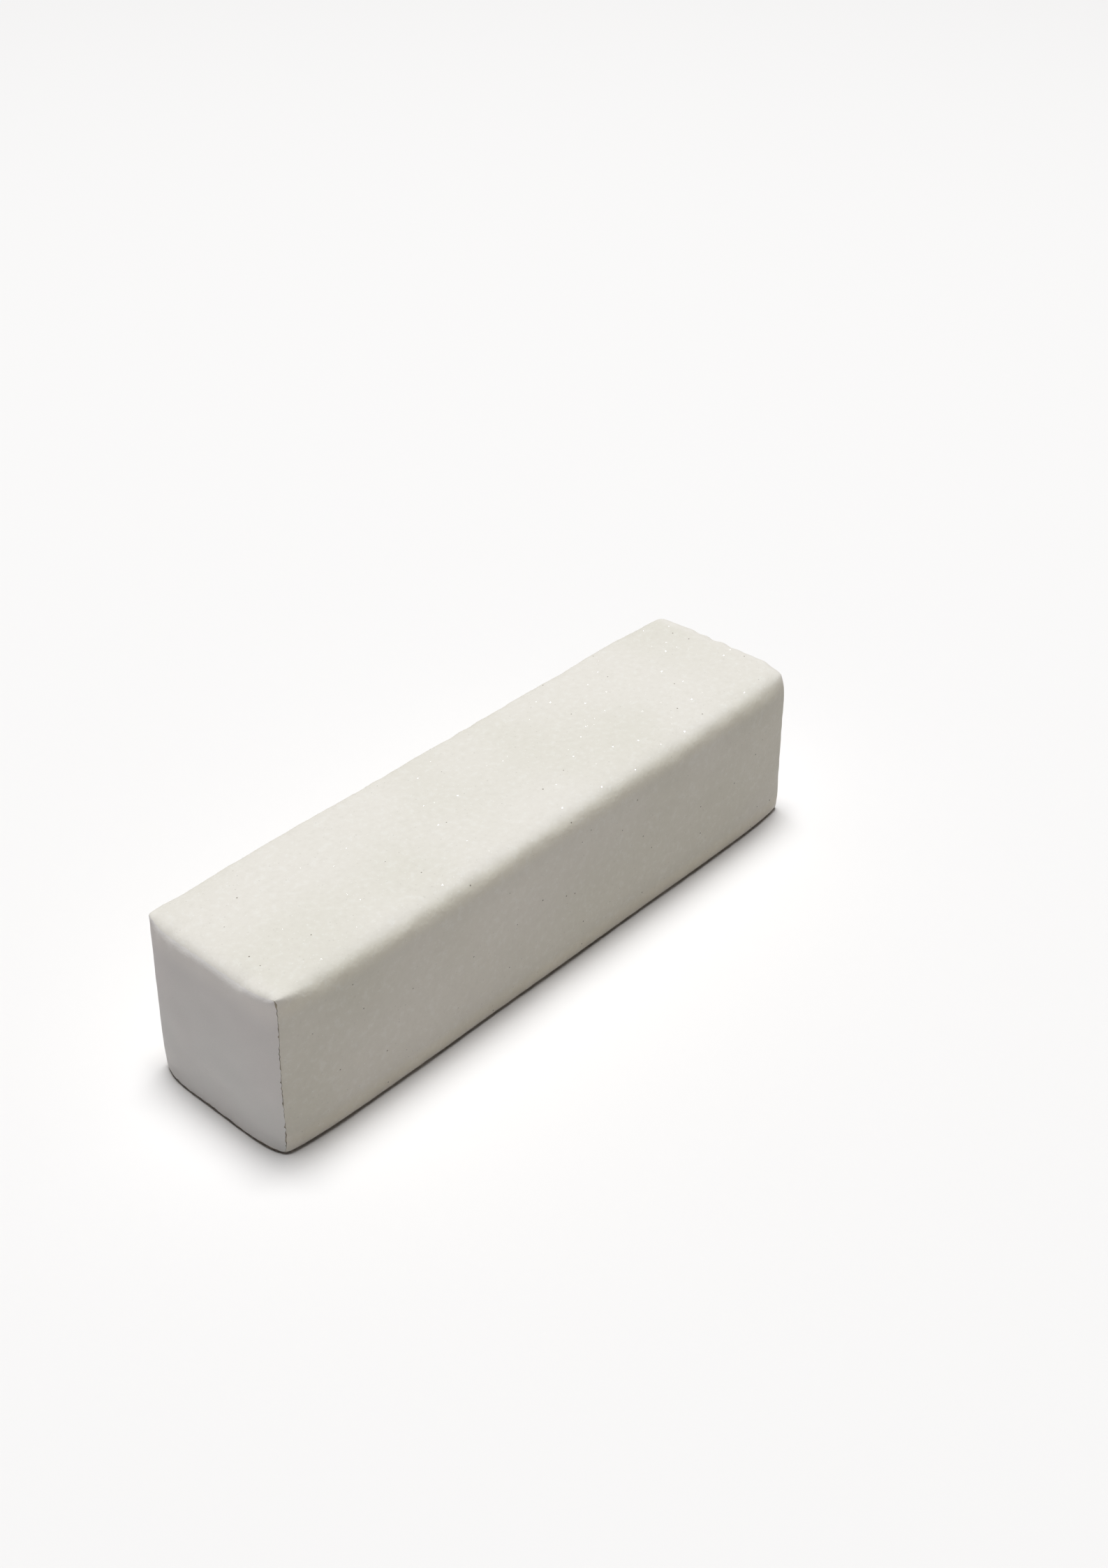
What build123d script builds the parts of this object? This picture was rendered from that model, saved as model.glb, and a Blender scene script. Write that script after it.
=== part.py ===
from build123d import *
import os

# Nail buffer block: a bar of soft white foam with a fine abrasive coat on its four long
# sides. Both ends are bare foam, because the bar is coated first and cut to length after.
# Millimetres, +X along the length, +Z up, origin at the middle of the side it rests on.

# Driving dimensions
length = 100.0  # from end to end
side = 25.0  # width and height over the coats
edge_radius = 1.2  # rounding of the four long edges, over the coats
grit_thickness = 0.3  # white abrasive grain and the resin that locks it in
bond_thickness = 0.2  # brown resin that holds the grain to the foam

# Sizes under each layer
bond_side = side - 2 * grit_thickness
bond_radius = edge_radius - grit_thickness
foam_side = bond_side - 2 * bond_thickness
foam_radius = bond_radius - bond_thickness

# The bar's left end, seen along the length: its own X is the width and its own Y is up
end_plane = Plane(origin=(-length / 2, 0, side / 2), x_dir=(0, 1, 0), z_dir=(1, 0, 0))

# Turn of each long side about the bar's axis, from the top
side_turns = {"top": 0, "front": 90, "bottom": 180, "back": 270}

os.makedirs("parts", exist_ok=True)


def coat_strip(layer, side_name, outer_side, outer_radius, thickness):
    """Lay one layer on one long side; it meets its neighbours halfway round each edge."""
    inner_side = outer_side - 2 * thickness
    with BuildPart() as strip:
        with BuildSketch(end_plane.rotated((side_turns[side_name], 0, 0))):
            RectangleRounded(outer_side, outer_side, outer_radius)
            RectangleRounded(inner_side, inner_side, outer_radius - thickness, mode=Mode.SUBTRACT)
            Polygon((0, 0), (side, side), (-side, side), align=None, mode=Mode.INTERSECT)
        extrude(amount=length)
    strip.part.label = f"{layer}_{side_name}"
    export_step(strip.part, f"parts/{strip.part.label}.step")


# Foam core, bare at both ends
with BuildPart() as foam_core:
    with BuildSketch(end_plane):
        RectangleRounded(foam_side, foam_side, foam_radius)
    extrude(amount=length)
foam_core.part.label = "foam_core"
export_step(foam_core.part, "parts/foam_core.step")

# Two layers on each long side: the bond against the foam, and the grit over it
for side_name in side_turns:
    coat_strip("bond_coat", side_name, bond_side, bond_radius, bond_thickness)
    coat_strip("grit_coat", side_name, side, edge_radius, grit_thickness)
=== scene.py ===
"""Looks of the nail buffer block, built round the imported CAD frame.

Every layer is cut from one skin: a rounded square section swept along X, made slightly wavy and crowned,
rolled over at its sawn ends and dented at a few corners. The foam, the bond and the grit lie at their own
depths under it, so they stay together wherever the skin bends. Metres, +X along the length, +Z up.
"""

import math

import bpy
import numpy as np
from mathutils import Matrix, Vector


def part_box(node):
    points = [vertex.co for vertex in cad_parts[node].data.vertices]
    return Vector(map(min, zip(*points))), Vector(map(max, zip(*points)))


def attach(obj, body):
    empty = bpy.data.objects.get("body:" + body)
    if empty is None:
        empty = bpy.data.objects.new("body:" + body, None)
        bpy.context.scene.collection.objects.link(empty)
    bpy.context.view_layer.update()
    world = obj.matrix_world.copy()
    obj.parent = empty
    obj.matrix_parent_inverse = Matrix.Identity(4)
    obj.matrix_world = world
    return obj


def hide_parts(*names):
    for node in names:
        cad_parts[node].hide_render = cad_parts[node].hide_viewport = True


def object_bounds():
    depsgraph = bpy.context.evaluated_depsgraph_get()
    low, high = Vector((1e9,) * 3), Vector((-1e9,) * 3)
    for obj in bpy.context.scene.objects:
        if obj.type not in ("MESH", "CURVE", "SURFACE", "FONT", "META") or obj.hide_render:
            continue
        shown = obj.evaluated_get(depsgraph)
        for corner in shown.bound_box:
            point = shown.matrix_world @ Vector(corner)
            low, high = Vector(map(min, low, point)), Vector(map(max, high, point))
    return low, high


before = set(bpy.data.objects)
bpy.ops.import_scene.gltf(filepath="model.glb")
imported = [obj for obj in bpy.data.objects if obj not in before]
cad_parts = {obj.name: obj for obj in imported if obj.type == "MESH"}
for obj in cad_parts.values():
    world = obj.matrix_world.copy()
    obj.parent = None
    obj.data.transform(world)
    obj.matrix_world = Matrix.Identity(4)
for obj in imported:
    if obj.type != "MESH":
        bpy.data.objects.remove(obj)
cad_low, cad_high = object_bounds()

MM = 0.001

# Sizes from the frame
LENGTH = cad_high.x - cad_low.x
SIDE = cad_high.z - cad_low.z
HALF = SIDE / 2
GRIT_DEPTH = cad_high.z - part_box("bond_coat_top")[1].z
FOAM_DEPTH = cad_high.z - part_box("foam_core")[1].z

# The skin's grid: each side is a quarter of the ring, in the order that the ring goes round
SIDE_AXES = {
    "top": (Vector((0, 1, 0)), Vector((0, 0, 1))),
    "back": (Vector((0, 0, -1)), Vector((0, 1, 0))),
    "bottom": (Vector((0, -1, 0)), Vector((0, 0, -1))),
    "front": (Vector((0, 0, 1)), Vector((0, -1, 0))),
}
# Which way each side runs along the end face's grid, whose own directions are +Y and +Z
GRID_RUN = {"top": (0, 1), "back": (1, -1), "bottom": (0, -1), "front": (1, 1)}
SIDE_STEPS = 124
RING_STEPS = SIDE_STEPS * len(SIDE_AXES)
PITCH = 0.2 * MM
RING_SPACING = SIDE / SIDE_STEPS
COLUMNS = round(LENGTH / PITCH)

ENDS = {"left": -1, "right": 1}


def noise(seed, wavelength, shape, spacing):
    """Seeded noise that repeats at its borders, with a spread of 1 and bumps about a wavelength apart."""
    white = np.random.default_rng(seed).standard_normal(shape)
    rates = [np.fft.fftfreq(count, step) for count, step in zip(shape, spacing)]
    rate = np.sqrt(sum(r**2 for r in np.meshgrid(*rates, indexing="ij")))
    band = np.exp(-(((rate * wavelength - 1) / 0.45) ** 2))
    field = np.fft.ifftn(np.fft.fftn(white) * band).real
    return (field - field.mean()) / field.std()


def skin_noise(seed, wavelength):
    return noise(seed, wavelength, (RING_STEPS, COLUMNS), (RING_SPACING, LENGTH / COLUMNS))


def ring_noise(seed, wavelength):
    return noise(seed, wavelength, (RING_STEPS,), (RING_SPACING,))


def smooth_step(value):
    value = np.clip(value, 0, 1)
    return value * value * (3 - 2 * value)


# ---- The skin ----

# Worn edges follow one curve: over a plane's last few millimetres it falls away from the plane, more and
# more steeply, and runs down into the other plane in the same way. Its spread is how far it reaches. The
# bar's edges are soft in the middle and turn crisp over a short length before each end.
EDGE_SPREAD = 1.3 * MM
END_EDGE_SPREAD = 0.38 * MM
END_EDGE_LENGTH = 7 * MM

# How much of that softness the bottom and the back edges have
BOTTOM_WEAR, BACK_WEAR = 0.05, 0.6


def fall(distance, spread):
    """How far the worn surface has fallen from one plane, at a distance from the other."""
    return -spread * np.log(1 - np.exp(-distance / spread))


def section_ring(spread):
    """Points and outward normals round the section, SIDE_STEPS to a side, evenly spaced."""
    half = HALF - math.log(2) * spread
    across = np.linspace(-half, half, 20 * SIDE_STEPS)
    outward = HALF - fall(HALF - np.abs(across), spread)
    run = np.append(0, np.cumsum(np.hypot(np.diff(across), np.diff(outward))))
    even = np.linspace(0, run[-1], SIDE_STEPS, endpoint=False)
    slope = np.gradient(outward, across)
    across, outward, slope = (np.interp(even, run, values) for values in (across, outward, slope))
    points, normals = [], []
    for side_across, side_outward in SIDE_AXES.values():
        a, o = np.array(side_across), np.array(side_outward)
        points.append(across[:, None] * a + outward[:, None] * o + (0, 0, HALF))
        normal = o - slope[:, None] * a
        normals.append(normal / np.linalg.norm(normal, axis=1, keepdims=True))
    return np.concatenate(points), np.concatenate(normals)


SOFT_RING, RING_NORMALS = section_ring(EDGE_SPREAD)
SHARP_RING, _ = section_ring(END_EDGE_SPREAD)

# How far each ring place is along its side, from -1 to 1, and how strongly it belongs to the top or bottom.
# MIDDLE falls to 0 at a side's two edges, and EDGE_WEIGHT rises to 1 there. EDGE_WEAR is how much of the
# soft edges' softness each place has.
RING_SHARE = np.tile(np.linspace(-1, 1, SIDE_STEPS, endpoint=False), len(SIDE_AXES))
MIDDLE = np.cos(RING_SHARE * math.pi / 2) ** 0.4
IS_TOP = RING_NORMALS[:, 2].clip(0, 1)
IS_BOTTOM = (-RING_NORMALS[:, 2]).clip(0, 1)
EDGE_WEIGHT = smooth_step((np.abs(RING_SHARE) - 0.75) / 0.2)
EDGE_WEAR = 1 - (1 - BOTTOM_WEAR) * smooth_step(1 - SOFT_RING[:, 2] / HALF)
EDGE_WEAR *= 1 - (1 - BACK_WEAR) * smooth_step(SOFT_RING[:, 1] / HALF)

# Waves pressed and worn into the soft foam, and how far they set the skin in. The bottom rests on the floor,
# so there they are lower and only go inward, with a clearance that leaves room for the grit's lumps.
BOTTOM_REST, CLEARANCE = 0.8, 0.045 * MM
WAVES = 0.05 * MM * skin_noise(1, 22 * MM)
WAVES += 0.012 * MM * skin_noise(2, 4.5 * MM)
WAVES += 0.02 * MM * skin_noise(5, 4 * MM) * EDGE_WEIGHT[:, None]
RESTING = smooth_step(2 * IS_BOTTOM)[:, None]
WAVES *= 1 - BOTTOM_REST * RESTING
LOWEST_WAVE = (WAVES * (IS_BOTTOM > 0.5)[:, None]).max()
WAVE_INSET = (LOWEST_WAVE + CLEARANCE) * RESTING - WAVES

# The grit's own lumps and grains, which stand out more than they sink in, and are pressed down at the rims
LUMP_HEIGHT, GRAIN_HEIGHT, PEAKINESS = 0.007 * MM, 0.005 * MM, 0.3
LUMPS = skin_noise(3, 0.75 * MM)
GRAINS = skin_noise(4, 0.45 * MM)
RELIEF = LUMP_HEIGHT * (LUMPS + PEAKINESS * LUMPS**2) + GRAIN_HEIGHT * (GRAINS + PEAKINESS * GRAINS**2)
RIM_RELIEF, RIM_RELIEF_LENGTH = 0.25, 1.5 * MM

# The two top corners of one end kept crisp edges. Elsewhere an end's edges are worn part of the way to the
# bar's own soft ones.
KEEN_LENGTH, CORNER_WEAR = 6 * MM, 0.5
KEEN_PLACES = [np.linalg.norm(SHARP_RING - (0, across * HALF, SIDE), axis=1) for across in (-1, 1)]
KEEN = np.exp(-((np.minimum(*KEEN_PLACES) / KEEN_LENGTH) ** 2))
WORN = {"left": CORNER_WEAR * (1 - KEEN), "right": np.full(RING_STEPS, CORNER_WEAR)}

# The sawn ends. The block falls over to each end along the same worn curve, widest at the top. The coats
# stop part of the way down it, where they have this steepness, and the bond shows there as a ragged line.
STOP_SLOPE = math.tan(math.radians(50))
STOP_GAP = math.log(1 + 1 / STOP_SLOPE)
TOP_SPREAD = {"left": 1.15 * MM, "right": 0.7 * MM}
OTHER_SPREAD = 0.25 * MM

# How thick the grit and the bond show where they are cut. The bond's line is thickest along the bottom, and
# hardly there along the top. The extra width along the bottom is partly painted shade: dark resin that
# stands in for the contact shadow under each sawn end.
GRIT_LINE, BOND_LINE, BOTTOM_LINE_AND_SHADE, TOP_LINE = 0.05 * MM, 0.045 * MM, 0.165 * MM, 0.002 * MM

# The fall's spread round each end, how far from the end plane the coats stop, and how thick each one shows
FALL_SPREAD, RIM_GAP, GRIT_SHOWN, BOND_SHOWN = {}, {}, {}, {}
for seed, end in enumerate(ENDS, start=10):
    uneven = 1 + 0.08 * ring_noise(seed, 9 * MM) + 0.06 * ring_noise(seed + 40, 3.5 * MM)
    top_share = IS_TOP * (MIDDLE + (1 - MIDDLE) * WORN[end])
    FALL_SPREAD[end] = (OTHER_SPREAD + (TOP_SPREAD[end] - OTHER_SPREAD) * top_share) * uneven
    rim_wander = 0.02 * ring_noise(seed + 50, 1.6 * MM).clip(-2, 2)
    RIM_GAP[end] = STOP_GAP * FALL_SPREAD[end] * (1 + rim_wander)
    GRIT_SHOWN[end] = GRIT_LINE * (1 + 0.3 * ring_noise(seed + 30, 1 * MM).clip(-2, 2))
    # Along the bottom the line is widened with dark resin as painted contact shadow
    line = BOND_LINE + (BOTTOM_LINE_AND_SHADE - BOND_LINE) * IS_BOTTOM + (TOP_LINE - BOND_LINE) * IS_TOP
    ragged = 0.4 * ring_noise(seed + 10, 1.6 * MM) + 0.35 * ring_noise(seed + 20, 5 * MM)
    dots = (ring_noise(seed + 60, 0.9 * MM) - 1.1).clip(0) * (1 - IS_BOTTOM)
    BOND_SHOWN[end] = line * ((1 + ragged).clip(0.1, 2) + 2.5 * dots)

# Where the bond shows thicker, as a dark spot at the near top corner: how much thicker, and over what length
# of the edge
CORNER_SPOT_DEPTH, CORNER_SPOT_LENGTH = 0.17 * MM, 0.5 * MM
CORNER_SPOT_PLACE = np.linalg.norm(SHARP_RING - (0, -HALF, SIDE - 0.8 * MM), axis=1)
BOND_SHOWN["left"] += CORNER_SPOT_DEPTH * np.exp(-((CORNER_SPOT_PLACE / CORNER_SPOT_LENGTH) ** 2))

# The lengths over which a layer eases into its place at the rim, and its cut edge's raggedness dies out
SETTLE, RAGGED_LENGTH = 2 * MM, 2 * MM

# How far each sawn end stands out at the bottom and at the top of its upright edges, and how much further
# the foam stands out between those edges
END_SHAPE = {"left": (-0.3 * MM, -1.1 * MM, 1.3 * MM), "right": (-0.3 * MM, -0.6 * MM, 0.8 * MM)}
CROWN_POWER = 6
END_BLEND = 14 * MM

# The sides bow out a little over the length, and the blade pinched the ends
MIDDLE_CROWN, END_PINCH, PINCH_LENGTH = 0.7 * MM, 1.05 * MM, 4.5 * MM

# Corners that gave way when the bar was cut: across and up, which end, and how far they moved in
DENTS = (
    ((1, -1), "left", 0.4 * MM),
    ((-1, 1), "right", 0.35 * MM),
    ((1, -1), "right", 0.45 * MM),
)
DENT_RADIUS = 3.2 * MM
DENT_STRETCH = (1.6, 1, 1)
DENT_LEAN = 0.3


def at_stations(field, xs):
    """Values of a skin field at places along X."""
    place = (xs / LENGTH + 0.5) * (COLUMNS - 1)
    left = np.clip(place.astype(int), 0, COLUMNS - 2)
    share = place - left
    return field[:, left] * (1 - share) + field[:, left + 1] * share


def by_end(values, xs):
    """A ring value at each station, taken from the end that the station is nearest to."""
    return np.where(xs[None, :] < 0, values["left"][:, None], values["right"][:, None])


def layer_gap(end, depth):
    """How far short of the end plane a layer stops, so that its cut edge lies in the worn curve."""
    spread = FALL_SPREAD[end]
    return fall(fall(RIM_GAP[end], spread) + depth, spread)


def thickness(shown, full, xs):
    """A coat's own thickness: even inside the block, and ragged where it was cut."""
    inside = smooth_step((LENGTH / 2 - np.abs(xs))[None, :] / RAGGED_LENGTH)
    return by_end(shown, xs) * (1 - inside) + full * inside


def bent(points):
    """Moves points of the even bar to where the slanted cuts, the dents, the bow and the pinch put them."""
    out = points.copy()
    for end, sign in ENDS.items():
        near = smooth_step((sign * points[..., 0] - LENGTH / 2 + END_BLEND) / END_BLEND)
        low, high, crown = END_SHAPE[end]
        height = points[..., 2] / SIDE
        between = 1 - np.clip(np.abs(points[..., 1]) / HALF, 0, 1) ** CROWN_POWER
        out[..., 0] += sign * near * (low + (high - low) * height + crown * between)
    for (across, up), end, depth in DENTS:
        corner = np.array((ENDS[end] * LENGTH / 2, across * HALF, HALF + up * HALF))
        gap = np.linalg.norm((points - corner) / DENT_STRETCH, axis=-1)
        inward = -np.array((DENT_LEAN * ENDS[end], across, up)) / math.sqrt(2)
        out += depth * np.exp(-((gap / DENT_RADIUS) ** 2))[..., None] * inward
    from_end = LENGTH / 2 - np.abs(points[..., 0])
    out[..., 1] += points[..., 1] / HALF * (MIDDLE_CROWN - END_PINCH * np.exp(-from_end / PINCH_LENGTH))
    return out


def skin(depth, xs, relief=0.0):
    """Places on the even bar's skin, at a depth under it, for every ring place and station."""
    from_end = (LENGTH / 2 - np.abs(xs))[None, :]
    settling = np.exp(-from_end / SETTLE)
    rim_depth = np.broadcast_to(depth, (RING_STEPS, len(xs)))[:, [0, -1]]
    own_gap = {end: layer_gap(end, rim_depth[:, column]) for column, end in enumerate(ENDS)}
    end_fall = fall(from_end + by_end(RIM_GAP, xs) * settling, by_end(FALL_SPREAD, xs))
    inward = at_stations(WAVE_INSET, xs) + end_fall + depth - relief
    worn = by_end(WORN, xs)
    soft = worn + (1 - worn) * smooth_step(from_end / END_EDGE_LENGTH)
    soft *= EDGE_WEAR[:, None]
    ring = SHARP_RING[:, None, :] * (1 - soft[..., None]) + SOFT_RING[:, None, :] * soft[..., None]
    points = ring - inward[..., None] * RING_NORMALS[:, None, :]
    points[..., 0] = np.sign(xs) * (LENGTH / 2 - from_end - by_end(own_gap, xs) * settling)
    return points


def stations():
    """Places along X for the hidden faces, and the finer ones for the grit, which include them."""
    near_end = np.array((0, 0.04, 0.1, 0.18, 0.3, 0.45, 0.65, 0.9, 1.2, 1.6, 2.1, 2.8, 3.6)) * MM
    further_in = np.linspace(4.5 * MM, LENGTH / 2, 24)[:-1]
    half = LENGTH / 2 - np.concatenate((near_end, further_in))
    coarse = np.concatenate((-half, (0,), half[::-1]))
    fine, kept = [], []
    for start, stop in zip(coarse[:-1], coarse[1:]):
        kept.append(len(fine))
        parts = max(1, math.ceil((stop - start) / PITCH))
        fine.extend(np.linspace(start, stop, parts, endpoint=False))
    kept.append(len(fine))
    fine.append(coarse[-1])
    return coarse, np.array(fine), np.array(kept)


COARSE, FINE, KEPT = stations()

# ---- Meshes ----

SHARP_ANGLE = math.radians(40)

# The foam's sawn ends: how far they are sawn in behind their rims, over what share of the width, and how
# high the saw's waves and the torn cells are
SAW_INSET, SAW_RIM_SHARE = 0.1 * MM, 0.1
SAW_WAVE, TORN_CELL = 0.04 * MM, 0.005 * MM


def skin_normals(grid):
    """Outward normals over a whole skin, so that its strips shade as one surface where they meet."""
    around = np.roll(grid, -1, axis=0) - np.roll(grid, 1, axis=0)
    along = np.gradient(grid, axis=1)
    normals = np.cross(along, around)
    return normals / np.linalg.norm(normals, axis=-1, keepdims=True)


def shade_as_skin(mesh, normals):
    """Gives the mesh's first vertices these normals, and leaves the rest as Blender made them."""
    count = len(mesh.loops)
    vertex, corner = np.empty(count, int), np.empty(count * 3, np.float32)
    mesh.loops.foreach_get("vertex_index", vertex)
    mesh.corner_normals.foreach_get("vector", corner)
    corner = corner.reshape(-1, 3)
    on_skin = vertex < len(normals)
    corner[on_skin] = normals[vertex[on_skin]]
    mesh.normals_split_custom_set(corner.tolist())


def make_piece(name, points, faces, material, node, normals=None):
    """A smooth closed mesh that stands for a CAD node. normals are for its first points, if given."""
    mesh = bpy.data.meshes.new(name)
    mesh.from_pydata(points.tolist(), [], faces)
    mesh.shade_smooth()
    mesh.set_sharp_from_angle(angle=SHARP_ANGLE)
    if normals is not None:
        shade_as_skin(mesh, normals)
    mesh.materials.append(material)
    piece = bpy.data.objects.new(name, mesh)
    bpy.context.scene.collection.objects.link(piece)
    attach(piece, "root")
    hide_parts(node)
    return piece


def grid_faces(index, flip=False):
    """Four-sided faces over a grid of vertex numbers."""
    corners = (index[:-1, :-1], index[:-1, 1:], index[1:, 1:], index[1:, :-1])
    faces = np.stack(corners, -1).reshape(-1, 4)
    return (faces[:, ::-1] if flip else faces).tolist()


def side_rows(side):
    """The ring places of one side, from one long edge to the next."""
    first = list(SIDE_AXES).index(side) * SIDE_STEPS
    return np.arange(first, first + SIDE_STEPS + 1) % RING_STEPS


def strip_shell(side, outer, inner, kept):
    """One side's closed strip between two skins; kept says which outer stations the inner ones match."""
    outer, inner = outer[side_rows(side)], inner[side_rows(side)]
    outside = np.arange(outer.shape[0] * outer.shape[1]).reshape(outer.shape[:2])
    inside = outside.size + np.arange(inner.shape[0] * inner.shape[1]).reshape(inner.shape[:2])
    faces = grid_faces(outside) + grid_faces(inside, flip=True)
    for station, flip in ((0, False), (-1, True)):
        faces += grid_faces(np.stack((outside[:, station], inside[:, station])), flip)
    for row, flip in ((0, True), (-1, False)):
        for k, (start, stop) in enumerate(zip(kept[:-1], kept[1:])):
            wall = [*outside[row, start : stop + 1], inside[row, k + 1], inside[row, k]]
            faces.append([int(v) for v in (wall[::-1] if flip else wall)])
    return np.concatenate((outer.reshape(-1, 3), inner.reshape(-1, 3))), faces


def over_grid(values, side):
    """A ring value's stretch along one side, laid along the end face's grid."""
    axis, way = GRID_RUN[side]
    return np.expand_dims(values[side_rows(side)][::way], 1 - axis)


def end_face(rim, end, rim_depth):
    """The foam's sawn end: a grid that fills its rim, falls away to it, and is finely torn."""
    share = np.linspace(0, 1, SIDE_STEPS + 1)
    u, v = share[:, None, None], share[None, :, None]
    low, high = over_grid(rim, "bottom"), over_grid(rim, "top")
    grid = (1 - v) * low + v * high + (1 - u) * over_grid(rim, "front") + u * over_grid(rim, "back")
    grid -= (1 - u) * ((1 - v) * low[0] + v * high[0]) + u * ((1 - v) * low[-1] + v * high[-1])
    face = np.full(grid.shape[:2], LENGTH / 2)
    for side, (_, outward) in SIDE_AXES.items():
        gap = np.maximum((over_grid(rim, side) - grid) @ np.array(outward), 0)
        spread = over_grid(FALL_SPREAD[end], side)
        rim_fall = fall(over_grid(layer_gap(end, rim_depth), side), spread)
        face = np.minimum(face, LENGTH / 2 - fall(gap + rim_fall, spread))
    spacing = (RING_SPACING, RING_SPACING)
    seed = 50 + ENDS[end]
    torn = SAW_WAVE * noise(seed, 7 * MM, face.shape, spacing)
    torn += TORN_CELL * noise(seed + 5, 0.5 * MM, face.shape, spacing)
    from_rim = np.minimum(share, 1 - share)
    inside = smooth_step(np.minimum(from_rim[:, None], from_rim[None, :]) / SAW_RIM_SHARE)
    grid[..., 0] = ENDS[end] * (face - inside * (SAW_INSET + torn))
    return grid


def foam_mesh(ring_grid, depth):
    """The foam: a hidden tube under the coats, closed by its two bare ends."""
    n = SIDE_STEPS
    tube = np.arange(ring_grid.shape[0] * ring_grid.shape[1]).reshape(ring_grid.shape[:2])
    faces = grid_faces(np.concatenate((tube, tube[:1])))
    points = [ring_grid.reshape(-1, 3)]
    count = tube.size
    for station, end in zip((0, -1), ENDS):
        grid = end_face(ring_grid[:, station], end, depth[:, station])
        index = np.empty((n + 1, n + 1), int)
        index[1:-1, 1:-1] = count + np.arange((n - 1) ** 2).reshape(n - 1, n - 1)
        index[:, n:] = over_grid(tube[:, station], "top")
        index[:, :1] = over_grid(tube[:, station], "bottom")
        index[:1] = over_grid(tube[:, station], "front")
        index[n:] = over_grid(tube[:, station], "back")
        points.append(grid[1:-1, 1:-1].reshape(-1, 3))
        count += (n - 1) ** 2
        faces += grid_faces(index, flip=ENDS[end] > 0)
    return np.concatenate(points), faces


# ---- Materials ----

def add_node(tree, kind, inputs=None, **settings):
    """Adds a node, sets it, and gives each named input a value or another node's output."""
    made = tree.nodes.new(kind)
    for key, value in settings.items():
        setattr(made, key, value)
    for name, value in (inputs or {}).items():
        if isinstance(value, bpy.types.NodeSocket):
            tree.links.new(value, made.inputs[name])
        else:
            made.inputs[name].default_value = value
    return made


def maths(tree, operation, *values, clamp=False):
    """One Math node's output."""
    made = add_node(tree, "ShaderNodeMath", dict(enumerate(values)), operation=operation, use_clamp=clamp)
    return made.outputs[0]


def ramp(tree, value, start, stop, low=0.0, high=1.0):
    """Maps a value smoothly from start..stop to low..high."""
    inputs = {"Value": value, "From Min": start, "From Max": stop, "To Min": low, "To Max": high}
    return add_node(tree, "ShaderNodeMapRange", inputs, interpolation_type="SMOOTHSTEP").outputs[0]


def vector_maths(tree, operation, *values):
    """One Vector Math node's output."""
    return add_node(tree, "ShaderNodeVectorMath", dict(enumerate(values)), operation=operation).outputs[0]


def mixed(tree, factor, first, second):
    """One colour blended towards another."""
    inputs = {0: factor, 6: first, 7: second}
    return add_node(tree, "ShaderNodeMix", inputs, data_type="RGBA").outputs[2]


def noise_value(tree, place, size, detail=2.0, roughness=0.5):
    """A noise pattern with features of about one size, in metres."""
    inputs = {"Vector": place, "Scale": 1 / size, "Detail": detail, "Roughness": roughness}
    return add_node(tree, "ShaderNodeTexNoise", inputs).outputs[0]


def cell_outputs(tree, place, size):
    """A pattern of random cells. Its outputs give each point's cell colour and distance from the middle."""
    return add_node(tree, "ShaderNodeTexVoronoi", {"Vector": place, "Scale": 1 / size}).outputs


def bump_output(tree, height, strength, distance):
    """The normal of a surface with fine bumps."""
    inputs = {"Strength": strength, "Distance": distance, "Height": height}
    return add_node(tree, "ShaderNodeBump", inputs).outputs[0]


def spots(tree, place, spacing, share, radius):
    """1 in scattered round spots and 0 between them. share is how many cells hold one."""
    cells = cell_outputs(tree, place, spacing)
    pick = add_node(tree, "ShaderNodeSeparateColor", {0: cells["Color"]}).outputs[0]
    chosen = maths(tree, "LESS_THAN", pick, share)
    core = ramp(tree, cells["Distance"], radius * 1.2 / spacing, radius * 0.6 / spacing)
    return maths(tree, "MULTIPLY", chosen, core)


def new_material(name):
    material = bpy.data.materials.new(name)
    material.use_nodes = True
    tree = material.node_tree
    place = add_node(tree, "ShaderNodeTexCoord").outputs["Object"]
    return material, tree, tree.nodes["Principled BSDF"], place


def finish_material(tree, shader, colour, roughness, normal):
    for name, value in (("Base Color", colour), ("Roughness", roughness), ("Normal", normal)):
        tree.links.new(value, shader.inputs[name])


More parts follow.
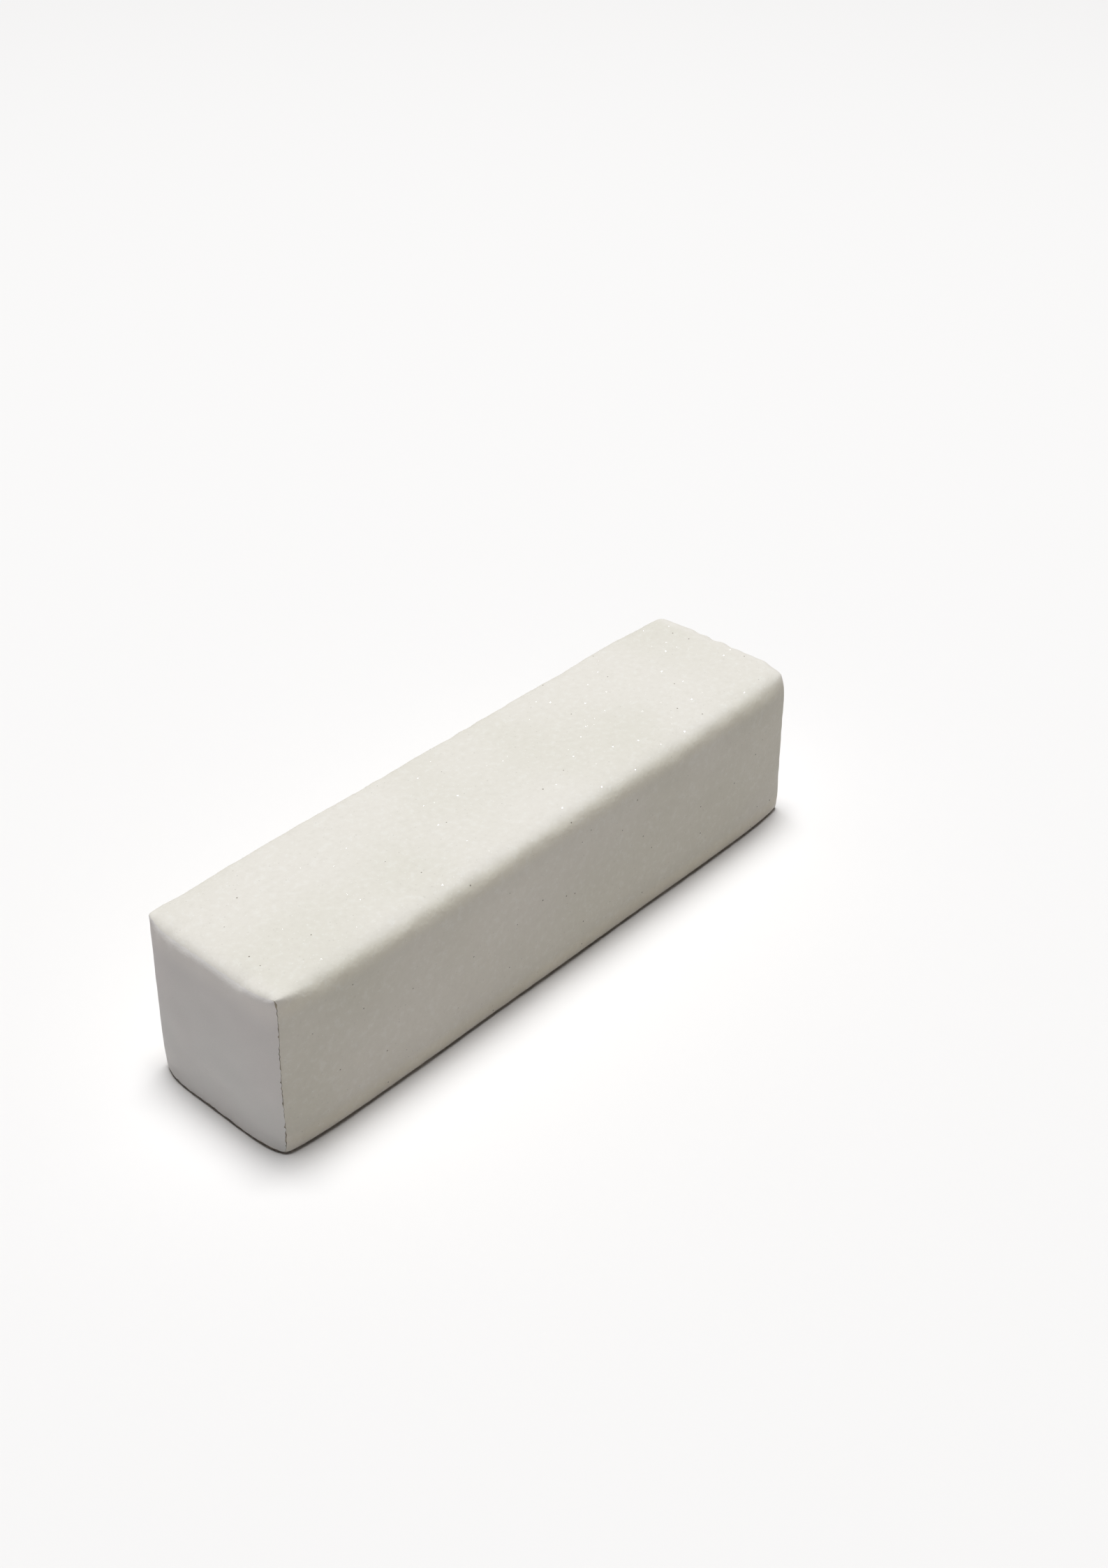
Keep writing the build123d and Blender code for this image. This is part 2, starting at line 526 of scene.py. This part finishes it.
def grit_material():
    """White abrasive grain in resin, with glinting crystals and a few dark ones. The sides' darker, warmer
    cream is partly painted shade, and the paler grains are partly painted glints.
    """
    material, tree, shader, place = new_material("white_grit")
    clean = (0.77, 0.721, 0.66, 1)
    cream_and_shade = (0.665, 0.63, 0.538, 1)
    warm = (0.78, 0.72, 0.59, 1)
    axes = add_node(tree, "ShaderNodeSeparateXYZ", {0: place}).outputs
    width = maths(tree, "ABSOLUTE", axes[1])
    height = maths(tree, "ABSOLUTE", maths(tree, "SUBTRACT", axes[2], HALF))
    near_edge = ramp(tree, maths(tree, "MINIMUM", width, height), HALF - 4 * MM, HALF - 1 * MM)
    patchy = noise_value(tree, place, 24 * MM, detail=1.0)
    # The sides are mixed towards a darker, warmer cream: painted shade for the dim, warm light that the
    # shaded sides get. The patchy share is the coat's own uneven tone.
    on_side = ramp(tree, maths(tree, "SUBTRACT", width, height), -1 * MM, 4 * MM)
    cream = maths(tree, "MULTIPLY_ADD", on_side, 0.45, ramp(tree, patchy, 0.35, 0.7, 0.0, 0.4))
    before_end = ramp(tree, maths(tree, "ABSOLUTE", axes[0]), LENGTH / 2 - 1 * MM, LENGTH / 2 - 3 * MM)
    cream = maths(tree, "MULTIPLY", cream, maths(tree, "MAXIMUM", before_end, on_side), clamp=True)
    colour = mixed(tree, cream, clean, cream_and_shade)
    colour = mixed(tree, maths(tree, "MULTIPLY", near_edge, on_side), colour, warm)
    mottle = noise_value(tree, place, 0.9 * MM, detail=3.0, roughness=0.6)
    colour = mixed(tree, ramp(tree, mottle, 0.5, 0.25, 0.0, 0.1), colour, (0.5, 0.47, 0.4, 1))
    colour = mixed(tree, ramp(tree, mottle, 0.5, 0.72, 0.0, 0.18), colour, (0.9, 0.89, 0.85, 1))
    # Paler grains, which also stand in for glints where the clear-coated crystals catch no light: partly
    # painted highlights
    light = spots(tree, place, spacing=0.55 * MM, share=0.2, radius=0.1 * MM)
    colour = mixed(tree, maths(tree, "MULTIPLY", light, 0.3), colour, (0.95, 0.94, 0.9, 1))
    dark = spots(tree, place, spacing=1.6 * MM, share=0.24, radius=0.12 * MM)
    colour = mixed(tree, maths(tree, "MULTIPLY", dark, 0.8), colour, (0.13, 0.1, 0.07, 1))

    fine = noise_value(tree, place, 0.22 * MM, detail=2.0)
    roughness = ramp(tree, fine, 0.3, 0.7, 0.75, 0.9)
    bump = bump_output(tree, fine, 0.5, 0.03 * MM)

    # Glinting crystals: small clear-coated spots, each tilted its own way
    facet = cell_outputs(tree, place, 0.4 * MM)["Color"]
    tilt = vector_maths(tree, "ADD", bump, vector_maths(tree, "SUBTRACT", facet, (0.5, 0.5, 0.5)))
    glints = spots(tree, place, spacing=0.4 * MM, share=0.06, radius=0.12 * MM)
    tree.links.new(glints, shader.inputs["Coat Weight"])
    tree.links.new(vector_maths(tree, "NORMALIZE", tilt), shader.inputs["Coat Normal"])
    shader.inputs["Coat Roughness"].default_value = 0.15
    shader.inputs["Coat IOR"].default_value = 1.77
    finish_material(tree, shader, colour, roughness, bump)
    return material


def foam_material():
    """Bare closed-cell foam, cut across: a cooler white with fine cells, and a paler band below its top that
    is painted light, standing in for light let through the foam from the lit top edge.
    """
    material, tree, shader, place = new_material("foam")
    patchy = noise_value(tree, place, 9 * MM, detail=2.0)
    height = add_node(tree, "ShaderNodeSeparateXYZ", {0: place}).outputs[2]
    lower = ramp(tree, height, 0.8 * SIDE, 0.1 * SIDE, 0.0, 0.6)
    tint = maths(tree, "ADD", lower, ramp(tree, patchy, 0.3, 0.7, 0.0, 0.4))
    colour = mixed(tree, tint, (0.755, 0.71, 0.69, 1), (0.755, 0.738, 0.715, 1))
    # Painted light: the paler band just under the top edge stands in for light that the lit top lets through
    # the foam
    below_top = ramp(tree, height, SIDE - 0.4 * MM, SIDE - 1.7 * MM, 0.0, 0.65)
    pale = maths(tree, "MULTIPLY", below_top, ramp(tree, height, SIDE - 5.5 * MM, SIDE - 1.5 * MM))
    colour = mixed(tree, pale, colour, (0.9, 0.845, 0.8, 1))
    distance = cell_outputs(tree, place, 0.28 * MM)["Distance"]
    colour = mixed(tree, ramp(tree, distance, 0.35, 0.0, 0.0, 0.12), colour, (0.55, 0.53, 0.51, 1))
    roughness = ramp(tree, patchy, 0.3, 0.7, 0.8, 0.9)
    finish_material(tree, shader, colour, roughness, bump_output(tree, distance, 0.4, 0.04 * MM))
    return material


def bond_material():
    """Brown resin, seen only where it is cut at the ends, and pale where it is thin, along the top."""
    material, tree, shader, place = new_material("bond_resin")
    patchy = noise_value(tree, place, 0.8 * MM, detail=3.0)
    colour = mixed(tree, ramp(tree, patchy, 0.3, 0.7), (0.1, 0.08, 0.055, 1), (0.4, 0.34, 0.26, 1))
    axes = add_node(tree, "ShaderNodeSeparateXYZ", {0: place}).outputs
    on_top = ramp(tree, axes[2], SIDE - 3 * MM, SIDE - 1.5 * MM)
    off_corner = ramp(tree, maths(tree, "ABSOLUTE", axes[1]), HALF - 1 * MM, HALF - 2 * MM)
    thin = maths(tree, "MULTIPLY", on_top, off_corner)
    colour = mixed(tree, thin, colour, (0.74, 0.7, 0.645, 1))
    roughness = ramp(tree, patchy, 0.3, 0.7, 0.45, 0.75)
    finish_material(tree, shader, colour, roughness, bump_output(tree, patchy, 0.4, 0.05 * MM))
    return material


# ---- The block ----

grit_depth = thickness(GRIT_SHOWN, GRIT_DEPTH, COARSE)
foam_depth = grit_depth + thickness(BOND_SHOWN, FOAM_DEPTH - GRIT_DEPTH, COARSE)
inside = smooth_step((LENGTH / 2 - np.abs(FINE)) / RIM_RELIEF_LENGTH)
relief = at_stations(RELIEF, FINE) * (RIM_RELIEF + (1 - RIM_RELIEF) * inside)
grit_skin = bent(skin(0, FINE, relief))
under_grit = bent(skin(grit_depth, COARSE))
under_bond = skin(foam_depth, COARSE)

grit, resin = grit_material(), bond_material()
normals = skin_normals(grit_skin)
for side in SIDE_AXES:
    points, faces = strip_shell(side, grit_skin, under_grit, KEPT)
    outer_normals = normals[side_rows(side)].reshape(-1, 3)
    make_piece(f"grit_{side}", points, faces, grit, f"grit_coat_{side}", outer_normals)
    points, faces = strip_shell(side, under_grit, bent(under_bond), range(len(COARSE)))
    make_piece(f"bond_{side}", points, faces, resin, f"bond_coat_{side}")

points, faces = foam_mesh(under_bond, foam_depth)
foam = make_piece("foam_bar", bent(points), faces, foam_material(), "foam_core")

# ---- Stage, light and camera ----

# The floor lies just under the block's lowest point
FLOOR_LEVEL = -0.01 * MM
FLOOR_RADIUS, BEND_RADIUS, WALL_TOP = 1.3, 0.7, 3.0
STAGE_TURNS = np.linspace(0, 2 * math.pi, 97)


def floor_material():
    material, _, shader, _ = new_material("pale_floor")
    shader.inputs["Base Color"].default_value = (0.91, 0.875, 0.863, 1)
    shader.inputs["Roughness"].default_value = 0.9
    return material


def add_turned(name, radius, height, material):
    """A stage surface turned about the Z axis from a profile."""
    x, y = radius * np.cos(STAGE_TURNS)[:, None], radius * np.sin(STAGE_TURNS)[:, None]
    points = np.stack((x, y, np.broadcast_to(height + FLOOR_LEVEL, x.shape)), -1)
    index = np.arange(x.size).reshape(x.shape)
    mesh = bpy.data.meshes.new(name)
    mesh.from_pydata(points.reshape(-1, 3).tolist(), [], grid_faces(index, flip=True))
    mesh.shade_smooth()
    mesh.materials.append(material)
    surface = bpy.data.objects.new(name, mesh)
    bpy.context.scene.collection.objects.link(surface)
    return surface


def add_floor_and_backdrop():
    """A round floor, and a backdrop that curves up from its rim. Only the floor throws light back."""
    material = floor_material()
    add_turned("floor", np.array((0.001, 0.4, FLOOR_RADIUS)), np.zeros(3), material)
    bend = np.linspace(0, math.pi / 2, 17)
    radius = np.append(FLOOR_RADIUS + BEND_RADIUS * np.sin(bend), FLOOR_RADIUS + BEND_RADIUS)
    height = np.append(BEND_RADIUS * (1 - np.cos(bend)), WALL_TOP)
    backdrop = add_turned("backdrop", radius, height, material)
    backdrop.visible_diffuse = False
    backdrop.visible_glossy = False
    backdrop.visible_shadow = False


def add_softbox():
    """One large soft light high over the block and a little behind it, aimed at the origin."""
    light = bpy.data.lights.new("key", "AREA")
    light.shape = "SQUARE"
    light.size = 0.9
    light.energy = 66.5
    light.color = (0.96, 0.99, 1.0)
    lamp = bpy.data.objects.new("key", light)
    lamp.location = (0.2, 0.2, 2.4)
    lamp.rotation_euler = (-lamp.location).to_track_quat("-Z", "Y").to_euler()
    bpy.context.scene.collection.objects.link(lamp)


def add_camera():
    """A camera without roll, about a quarter of a metre from the left end, that looks down at it."""
    camera = bpy.data.cameras.new("camera")
    camera.sensor_width = 36
    camera.lens = 45.4
    camera.clip_start = 0.01
    azimuth, elevation = math.radians(42.47), math.radians(35.13)
    forward = Vector((
        math.cos(azimuth) * math.cos(elevation),
        math.sin(azimuth) * math.cos(elevation),
        -math.sin(elevation),
    ))
    holder = bpy.data.objects.new("camera", camera)
    holder.location = Vector((-155.5, -153.4, 178.15)) * MM
    holder.rotation_euler = forward.to_track_quat("-Z", "Y").to_euler()
    bpy.context.scene.collection.objects.link(holder)
    bpy.context.scene.camera = holder


add_floor_and_backdrop()
add_softbox()
add_camera()
bpy.context.scene.view_settings.view_transform = "Standard"
